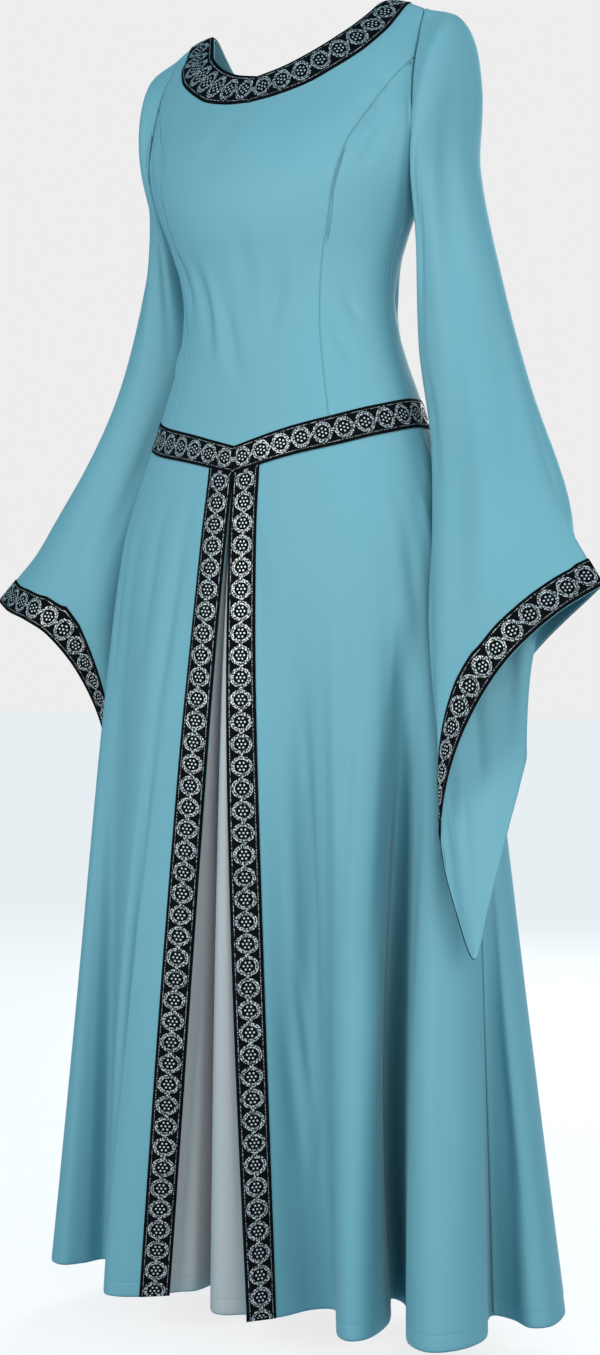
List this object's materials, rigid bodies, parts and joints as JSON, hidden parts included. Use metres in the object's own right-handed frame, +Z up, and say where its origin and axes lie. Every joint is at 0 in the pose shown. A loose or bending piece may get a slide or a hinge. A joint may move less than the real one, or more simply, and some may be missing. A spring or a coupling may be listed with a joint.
{
  "type": "medieval gown",
  "caption": "Long hollow gown, worn shape kept, with pointed bell sleeves, a pointed hip seam, a skirt that parts over a white inset and woven ribbon along its edges.",
  "frame": {"origin": "midway between the neck points at the level where the wearer's shoulders hold the gown up", "axes": "+Z up, the gown faces -Y and the wearer's left is +X"},
  "size_m": [0.778, 0.3173, 1.3911],
  "materials": {
    "aqua_cloth": "smooth light blue crepe with a slight sheen",
    "white_cloth": "plain matt off-white",
    "braid_ribbon": "black jacquard ribbon with a silver ring braid"
  },
  "bodies": {
    "root": {"bodice_front_centre": "aqua_cloth", "bodice_side_front_left": "aqua_cloth", "bodice_side_front_right": "aqua_cloth", "bodice_back_left": "aqua_cloth", "bodice_back_right": "aqua_cloth", "sleeve_left": "aqua_cloth", "sleeve_right": "aqua_cloth", "skirt_front_left": "aqua_cloth", "skirt_front_right": "aqua_cloth", "skirt_back_left": "aqua_cloth", "skirt_back_right": "aqua_cloth", "front_inset": "white_cloth", "neck_trim_left": "braid_ribbon", "neck_trim_right": "braid_ribbon", "hip_trim_left": "braid_ribbon", "hip_trim_right": "braid_ribbon", "front_band_left": "braid_ribbon", "front_band_right": "braid_ribbon", "sleeve_trim_left": "braid_ribbon", "sleeve_trim_right": "braid_ribbon"}
  },
  "joints": []
}
